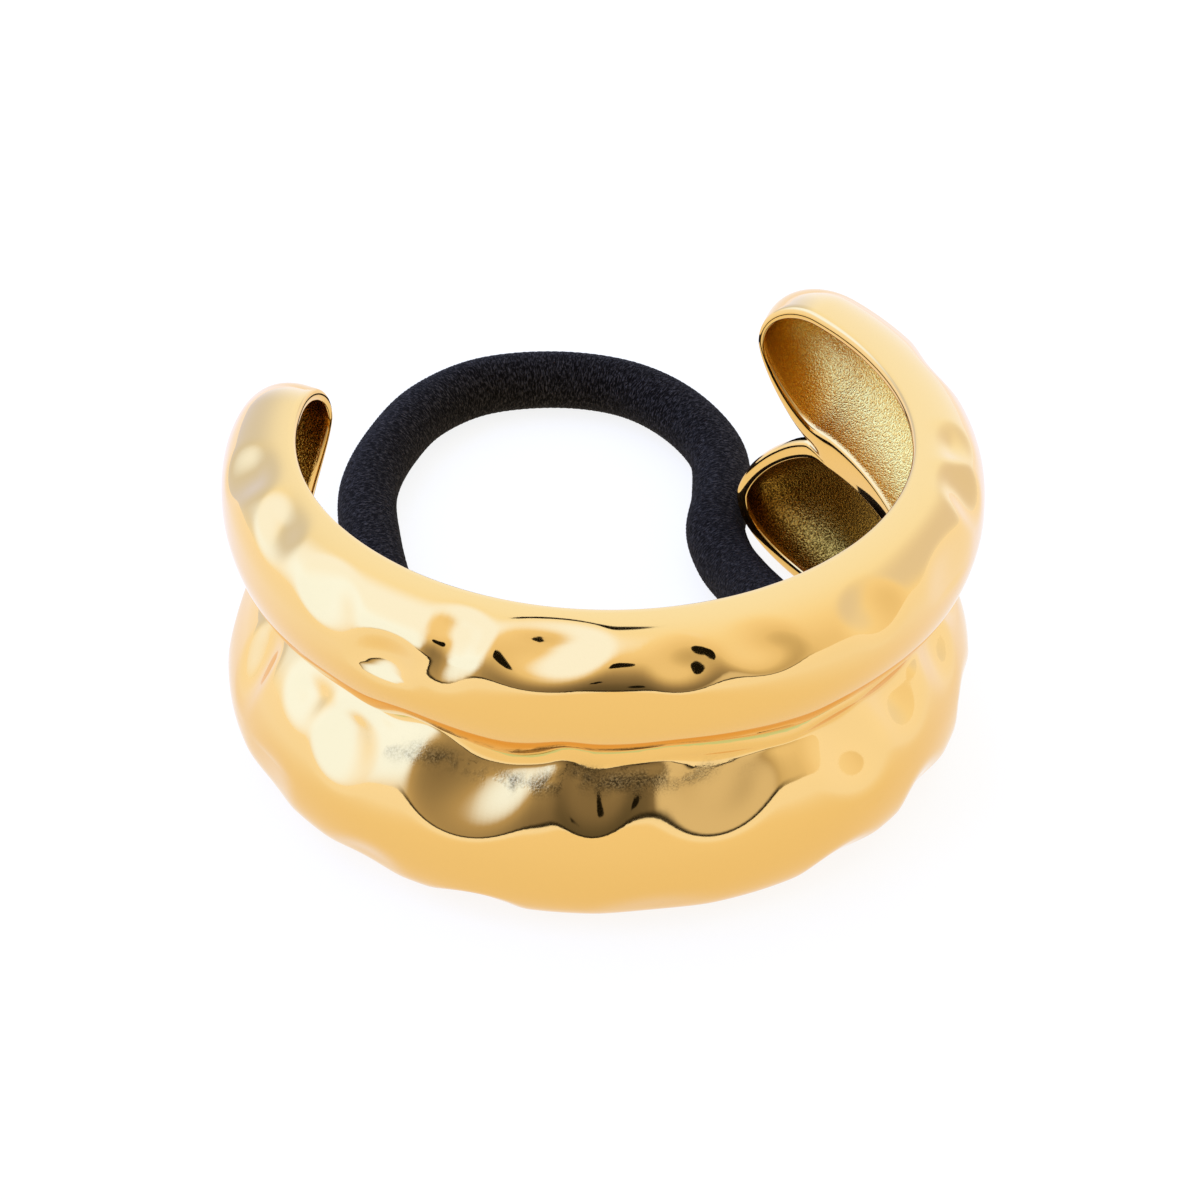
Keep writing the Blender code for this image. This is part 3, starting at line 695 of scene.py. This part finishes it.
def wrap(along, height, depth):
    """Roll the unrolled ring up: x = r sin a, y = -r cos a, with r the rim's radius plus the depth."""
    angle = np.degrees(along / INNER_RADIUS)
    radius = ring_radius(angle) + depth
    points = [
        RING_AXIS[0] + radius * np.sin(np.radians(angle)),
        RING_AXIS[1] - radius * np.cos(np.radians(angle)),
        np.maximum(height - FLOOR_DROP, 0),
    ]
    return np.stack(points, axis=-1)


def lobe_grids(lobe):
    """A lobe's outer skin, and its rim with its pocket, as two grids of points. With them come how sandy the
    second is, and how grainy and how near the valley the first is, each from 0 to 1."""
    outer = np.stack(skin_grid(lobe, False, OUTER_ROWS), axis=-1)
    inner = np.stack(skin_grid(lobe, True, POCKET_ROWS), axis=-1)[:, ::-1]
    along, _, _, fused = stations(lobe, 0.0)
    joined = np.where(fused, togetherness(along), 0)
    start = np.radians(CREASE_TURN) * joined[:, None]
    brink = outer[:, -1].copy()
    brink[:, 1] -= CREASE_DROP * joined
    brink[fused, 2] = -RIM_SWELL * np.sin(start[fused, 0])
    phi = start + (np.pi - start) * np.linspace(0, 1, RIM_ROWS + 2)[None, :-1]
    blend = ((np.cos(start) - np.cos(phi)) / (np.cos(start) + 1))[..., None]
    rim = brink[:, None] + (inner[:, :1] - brink[:, None]) * blend
    rim[..., 2] = -RIM_SWELL * np.sin(phi)
    inside = np.concatenate([rim, inner], axis=1)
    sandy = np.concatenate([np.zeros(rim.shape[1] + 1), np.ones(inner.shape[1] - 1)])
    way = np.abs(outer[..., 1] - outer[:, -1:, 1])
    to_end = GRAIN_SPAN - np.abs(np.degrees(outer[..., 0] / INNER_RADIUS) - GRAIN_MIDDLE)
    grainy = np.exp(-(((way - GRAIN_WAY) / GRAIN_WIDTH) ** 2)) * smooth_step(to_end / GRAIN_FADE)
    grainy = np.where((lobe is LOWER) & fused[:, None], grainy, 0.0)
    # The painted reflection tint lies along the valley on the upper lobe.
    near = np.where((lobe is UPPER) & fused[:, None], np.exp(-((way / VALLEY_WIDTH) ** 2)), 0.0)
    outer[..., 1] += wandering(outer[..., 0], outer[..., 1])
    return outer, inside, np.broadcast_to(sandy, inside.shape[:2]), grainy, near


def clean_up(mesh):
    """Weld the points that coincide, and turn every face outwards."""
    edit = bmesh.new()
    edit.from_mesh(mesh)
    bmesh.ops.remove_doubles(edit, verts=edit.verts, dist=WELD)
    bmesh.ops.recalc_face_normals(edit, faces=edit.faces)
    edit.to_mesh(mesh)
    edit.free()
    mesh.shade_smooth()


def cuff_mesh():
    """Both lobes' grids in one closed mesh, welded along the valley, the inner band and the crests, with the
    numbers for its sand and grain, its painted pocket shade and its painted valley tint."""
    points, faces, finish_and_painted_light, count = [], [], [], 0
    for lobe in (LOWER, UPPER):
        outer, inside, sandy, grainy, near = lobe_grids(lobe)
        # Painted shade in the pockets: all of the lower pocket, and the upper pocket more and more towards
        # its left end.
        shading = smooth_step((inside[..., 0] - arc(SHADE_FROM)) / arc(SHADE_FULL - SHADE_FROM))
        shaded = sandy * (1.0 if lobe is LOWER else shading)
        none_outside, none_inside = np.zeros(outer.shape[:2]), np.zeros(inside.shape[:2])
        outer_finish_and_tint = (none_outside, none_outside, grainy, near)
        inside_finish_and_shade = (sandy, shaded, none_inside, none_inside)
        for grid, numbers in ((outer, outer_finish_and_tint), (inside, inside_finish_and_shade)):
            faces.append(count + grid_faces(*grid.shape[:2], True, False))
            points.append(wrap(*np.moveaxis(grid, -1, 0)).reshape(-1, 3))
            finish_and_painted_light.append(np.stack(numbers, axis=-1).reshape(-1, len(numbers)))
            count += grid.shape[0] * grid.shape[1]
    mesh = new_mesh("hammered_cuff", np.concatenate(points), np.concatenate(faces))
    names = ("sandy", "painted_pocket_shade", "cast_grain", "painted_valley_tint")
    for name, values in zip(names, np.concatenate(finish_and_painted_light).T):
        set_values(mesh, name, values)
    clean_up(mesh)
    return mesh


def gold_material():
    """Gold-tone plating: mirror-bright where it was polished, sandy in the pockets, and dull and grainy along
    the lower side of the valley, where it is as it was cast. Painted shade darkens the lower pocket and the
    upper pocket's left end, and a painted reflection tint lies along the upper side of the valley."""
    made, nodes, links, shader = new_material("polished_gold_plate", GOLD, 1.0, POLISH)
    place = nodes.new("ShaderNodeTexCoord")

    def attribute(name):
        read = nodes.new("ShaderNodeAttribute")
        read.attribute_name = name
        return read.outputs["Fac"]

    def noise(scale, detail):
        texture = nodes.new("ShaderNodeTexNoise")
        texture.inputs["Scale"].default_value = scale
        texture.inputs["Detail"].default_value = detail
        links.new(place.outputs["Object"], texture.inputs["Vector"])
        return texture.outputs["Fac"]

    def remapped(value, start, end, low, high):
        span = nodes.new("ShaderNodeMapRange")
        span.inputs["From Min"].default_value = start
        span.inputs["From Max"].default_value = end
        span.inputs["To Min"].default_value = low
        span.inputs["To Max"].default_value = high
        links.new(value, span.inputs["Value"])
        return span.outputs["Result"]

    def joined(operation, first, second):
        math = nodes.new("ShaderNodeMath")
        math.operation = operation
        links.new(first, math.inputs[0])
        links.new(second, math.inputs[1])
        return math.outputs["Value"]

    def tinted(under, color, mask):
        mix = nodes.new("ShaderNodeMix")
        mix.data_type = "RGBA"
        links.new(mask, mix.inputs["Factor"])
        for value, socket in ((under, mix.inputs["A"]), (color, mix.inputs["B"])):
            if isinstance(value, tuple):
                socket.default_value = (*value, 1)
            else:
                links.new(value, socket)
        return mix.outputs["Result"]

    sandy = attribute("sandy")
    grains = noise(SAND_SCALE, SAND_DETAIL)
    as_cast = remapped(noise(CAST_SCALE, CAST_DETAIL), *CAST_RANGE, 0.0, 1.0)
    dull = joined("MULTIPLY", attribute("cast_grain"), as_cast)
    specks = remapped(grains, *SPECK_RANGE, 0.0, 1.0)
    # The pockets' sand, with painted shade laid over it where the pockets are shaded.
    sand_and_shade = tinted(
        tinted(SAND_LOW, SAND_HIGH, specks), tinted(SHADED_SAND_LOW, SHADED_SAND_HIGH, specks), attribute("painted_pocket_shade")
    )
    cast = tinted(CAST_LOW, CAST_HIGH, specks)
    # Along the valley the polished gold takes the painted reflection tint.
    polished = tinted(GOLD, VALLEY_REFLECTION_TINT, attribute("painted_valley_tint"))
    color = tinted(tinted(polished, cast, dull), sand_and_shade, sandy)
    links.new(color, shader.inputs["Base Color"])
    rough = joined("MAXIMUM", sandy, dull)
    links.new(remapped(rough, 0.0, 1.0, POLISH, SAND_ROUGHNESS), shader.inputs["Roughness"])
    bump = nodes.new("ShaderNodeBump")
    bump.inputs["Strength"].default_value = SAND_BUMP
    bump.inputs["Distance"].default_value = SAND_HEIGHT
    relief = joined("MAXIMUM", sandy, remapped(dull, 0.0, 1.0, 0.0, CAST_BUMP))
    links.new(joined("MULTIPLY", relief, grains), bump.inputs["Height"])
    links.new(bump.outputs["Normal"], shader.inputs["Normal"])
    return made


gold = gold_material()
cuff = add_piece("hammered_cuff", cuff_mesh(), gold)
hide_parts("cuff_shell")

# Sleeve
# A short tube soldered to the web at the inside front. The elastic runs through it, and its two ends meet
# inside.
SLEEVE_LENGTH = 8.0 * MM
SLEEVE_WALL = 0.8 * MM
SLEEVE_GAP = 0.3 * MM  # between the elastic and the bore
SLEEVE_ROUNDING = 0.3 * MM
SLEEVE_SIDES = 96
CORNER_STEPS = 5  # points round each of its edges

# Its outline runs from the skin round the right end to the bore, and back mirrored. Each edge is a quarter
# circle: the length is half - r (1 - sin q) on the skin's side and half - r (1 - cos q) on the bore's.
bore = ELASTIC_DIAMETER / 2 + SLEEVE_GAP
skin_radius = bore + SLEEVE_WALL
half_length = SLEEVE_LENGTH / 2
quarter = np.linspace(0, np.pi / 2, CORNER_STEPS)
rising, falling = SLEEVE_ROUNDING * (1 - np.sin(quarter)), SLEEVE_ROUNDING * (1 - np.cos(quarter))
right_end = np.concatenate([
    np.stack([half_length - rising, skin_radius - falling], axis=1),
    np.stack([half_length - falling, bore + rising], axis=1),
])
sleeve_outline = np.concatenate([right_end, right_end[::-1] * (-1, 1)])
around = np.linspace(0, 2 * np.pi, SLEEVE_SIDES, endpoint=False)[:, None]
sleeve_center = np.array([RING_AXIS[0], *elastic_line[0][1:]])
sleeve_points = sleeve_center + np.stack(
    np.broadcast_arrays(
        sleeve_outline[:, 0], sleeve_outline[:, 1] * np.cos(around), sleeve_outline[:, 1] * np.sin(around)
    ),
    axis=-1,
)
sleeve_mesh = new_mesh(
    "elastic_sleeve", sleeve_points.reshape(-1, 3), grid_faces(*sleeve_points.shape[:2], True, True)
)
clean_up(sleeve_mesh)
add_piece("elastic_sleeve", sleeve_mesh, gold)

# Table and light
# A white light table in a studio that is bright behind the cuff and dark behind the camera, with a large
# softbox at the back left. The metal mirrors the dark side as a thin line above the table's edge.
TABLE_SIZE = 3.0
TABLE_TONE = (0.16, 0.15, 0.115)  # warm, so that it is white under the cool light
TABLE_ROUGHNESS = 0.9
TABLE_GLOW = 0.86  # light of its own, as of a table lit from below
TABLE_COOL = (1.05, 1.20, 1.75)  # that light to both sides of the cuff, where it is cooler and brighter; the dimmer glow near the cuff is a painted shade of the cuff on the table
COOL_FROM = (26.0 * MM, 60.0 * MM)  # way to the side over which it turns cool

table_mesh = new_mesh(
    "white_table",
    np.array([(-1, -1, 0), (1, -1, 0), (1, 1, 0), (-1, 1, 0)]) * TABLE_SIZE / 2,
    np.array([[0, 1, 2, 3]]),
)
table = bpy.data.objects.new("white_table", table_mesh)
white, nodes, links, shader = new_material("table_white", TABLE_TONE, 0.0, TABLE_ROUGHNESS)
place = nodes.new("ShaderNodeTexCoord")
side = nodes.new("ShaderNodeVectorMath")
side.operation = "DOT_PRODUCT"
side.inputs[1].default_value = (np.cos(turn), np.sin(turn), 0.0)
links.new(place.outputs["Object"], side.inputs[0])
way = nodes.new("ShaderNodeMath")
way.operation = "ABSOLUTE"
links.new(side.outputs["Value"], way.inputs[0])
outwards = nodes.new("ShaderNodeMapRange")
outwards.interpolation_type = "SMOOTHSTEP"
outwards.inputs["From Min"].default_value, outwards.inputs["From Max"].default_value = COOL_FROM
links.new(way.outputs["Value"], outwards.inputs["Value"])
glow = nodes.new("ShaderNodeMix")
glow.data_type = "RGBA"
glow.inputs["A"].default_value = (1, 1, 1, 1)
glow.inputs["B"].default_value = (*TABLE_COOL, 1)
links.new(outwards.outputs["Result"], glow.inputs["Factor"])
links.new(glow.outputs["Result"], shader.inputs["Emission Color"])
shader.inputs["Emission Strength"].default_value = TABLE_GLOW
table_mesh.materials.append(white)
bpy.context.collection.objects.link(table)

# Light of the studio by how far a direction points to the dark side of the room, which is behind the
# camera: 1 straight at it, -1 straight away from it.
Glow = namedtuple("Glow", "frontness color")
GLOW = [
    Glow(-1.0, (1.12, 1.45, 2.45)),
    Glow(-0.68, (1.12, 1.38, 2.20)),
    Glow(-0.36, (1.12, 1.29, 1.80)),
    Glow(-0.1, (1.10, 1.20, 1.50)),
    Glow(0.17, (1.05, 1.10, 1.30)),
    Glow(0.42, (0.96, 0.98, 1.08)),
    Glow(0.57, (0.74, 0.74, 0.76)),
    Glow(0.71, (0.53, 0.51, 0.52)),
    Glow(0.83, (0.36, 0.35, 0.37)),
    Glow(0.94, (0.24, 0.23, 0.25)),
    Glow(1.0, (0.12, 0.12, 0.13)),
]
ROOM_FRONT = (-15.0, 0.0)  # azimuth and elevation of the dark side
HORIZON_BAND = (0.012, 0.06)  # heights between which the dark line along the horizon fades out
HORIZON_SIDES = (0.42, 0.70)  # frontness between which it begins and is full
HORIZON_TONE = (0.02, 0.02, 0.02)
DARK = (0.01, 0.01, 0.01)

# Softboxes, and dark things that show as spots in the gold: azimuth and elevation, the degrees from the
# middle where it begins and where it is full, and its colour.
Patch = namedtuple("Patch", "azimuth elevation start full color")
PATCHES = [
    Patch(105, 24, 34.0, 6.0, (0.90, 1.04, 1.70)),
    Patch(-160, 14, 36.0, 8.0, (0.80, 1.03, 1.95)),
    Patch(-104, 36, 46.0, 10.0, (1.14, 1.78, 4.70)),
    Patch(-84, 20, 26.0, 6.0, (1.12, 1.75, 4.60)),
    Patch(-128, 62, 34.0, 12.0, (1.14, 1.66, 4.00)),
    Patch(21, 6, 17.0, 0.0, (0.82, 0.86, 1.05)),
    Patch(-18, 60, 6.2, 5.6, DARK),
    Patch(166, 52, 2.9, 2.5, DARK),
    Patch(-23, 21, 3.2, 2.6, DARK),
    Patch(-9, 9, 3.2, 2.6, DARK),
]


def room_direction(azimuth, elevation):
    """The unit vector at an azimuth from the front, positive towards +X, and an elevation."""
    a, b = np.radians([azimuth, elevation])
    return float(np.sin(a) * np.cos(b)), float(-np.cos(a) * np.cos(b)), float(np.sin(b))


def fading(value, start, full):
    """0 where the value is at the start, rising smoothly to 1 where it is at the full mark."""
    fade = nodes.new("ShaderNodeMapRange")
    fade.interpolation_type = "SMOOTHSTEP"
    fade.inputs["From Min"].default_value = start
    fade.inputs["From Max"].default_value = full
    links.new(value, fade.inputs["Value"])
    return fade.outputs["Result"]


def pointing(azimuth, elevation):
    """The cosine between the ray and a direction of the room."""
    dot = nodes.new("ShaderNodeVectorMath")
    dot.operation = "DOT_PRODUCT"
    dot.inputs[1].default_value = room_direction(azimuth, elevation)
    links.new(ray.outputs["Generated"], dot.inputs[0])
    return dot.outputs["Value"]


def painted(under, color, mask):
    """The light so far, with a colour laid over it where the mask is 1."""
    mix = nodes.new("ShaderNodeMix")
    mix.data_type = "RGBA"
    mix.inputs["B"].default_value = (*color, 1)
    links.new(mask, mix.inputs["Factor"])
    links.new(under, mix.inputs["A"])
    return mix.outputs["Result"]


world = bpy.data.worlds.new("studio")
world.use_nodes = True
bpy.context.scene.world = world
nodes, links = world.node_tree.nodes, world.node_tree.links
ray = nodes.new("ShaderNodeTexCoord")
frontness = pointing(*ROOM_FRONT)
spread = nodes.new("ShaderNodeMapRange")
spread.inputs["From Min"].default_value = -1
links.new(frontness, spread.inputs["Value"])
walls = nodes.new("ShaderNodeValToRGB")
walls.color_ramp.elements.remove(walls.color_ramp.elements[0])
for index, glow in enumerate(GLOW):
    spot = (glow.frontness + 1) / 2
    element = walls.color_ramp.elements[0] if index == 0 else walls.color_ramp.elements.new(spot)
    element.position = spot
    element.color = (*glow.color, 1)
links.new(spread.outputs["Result"], walls.inputs["Fac"])
light = walls.outputs["Color"]
for patch in PATCHES:
    middle = pointing(patch.azimuth, patch.elevation)
    light = painted(light, patch.color, fading(middle, *np.cos(np.radians([patch.start, patch.full]))))
split = nodes.new("ShaderNodeSeparateXYZ")
links.new(ray.outputs["Generated"], split.inputs["Vector"])
horizon = nodes.new("ShaderNodeMath")
horizon.operation = "MULTIPLY"
links.new(fading(split.outputs["Z"], *HORIZON_BAND[::-1]), horizon.inputs[0])
links.new(fading(frontness, *HORIZON_SIDES), horizon.inputs[1])
light = painted(light, HORIZON_TONE, horizon.outputs["Value"])
links.new(light, nodes["Background"].inputs["Color"])
bpy.context.scene.view_settings.view_transform = "Standard"
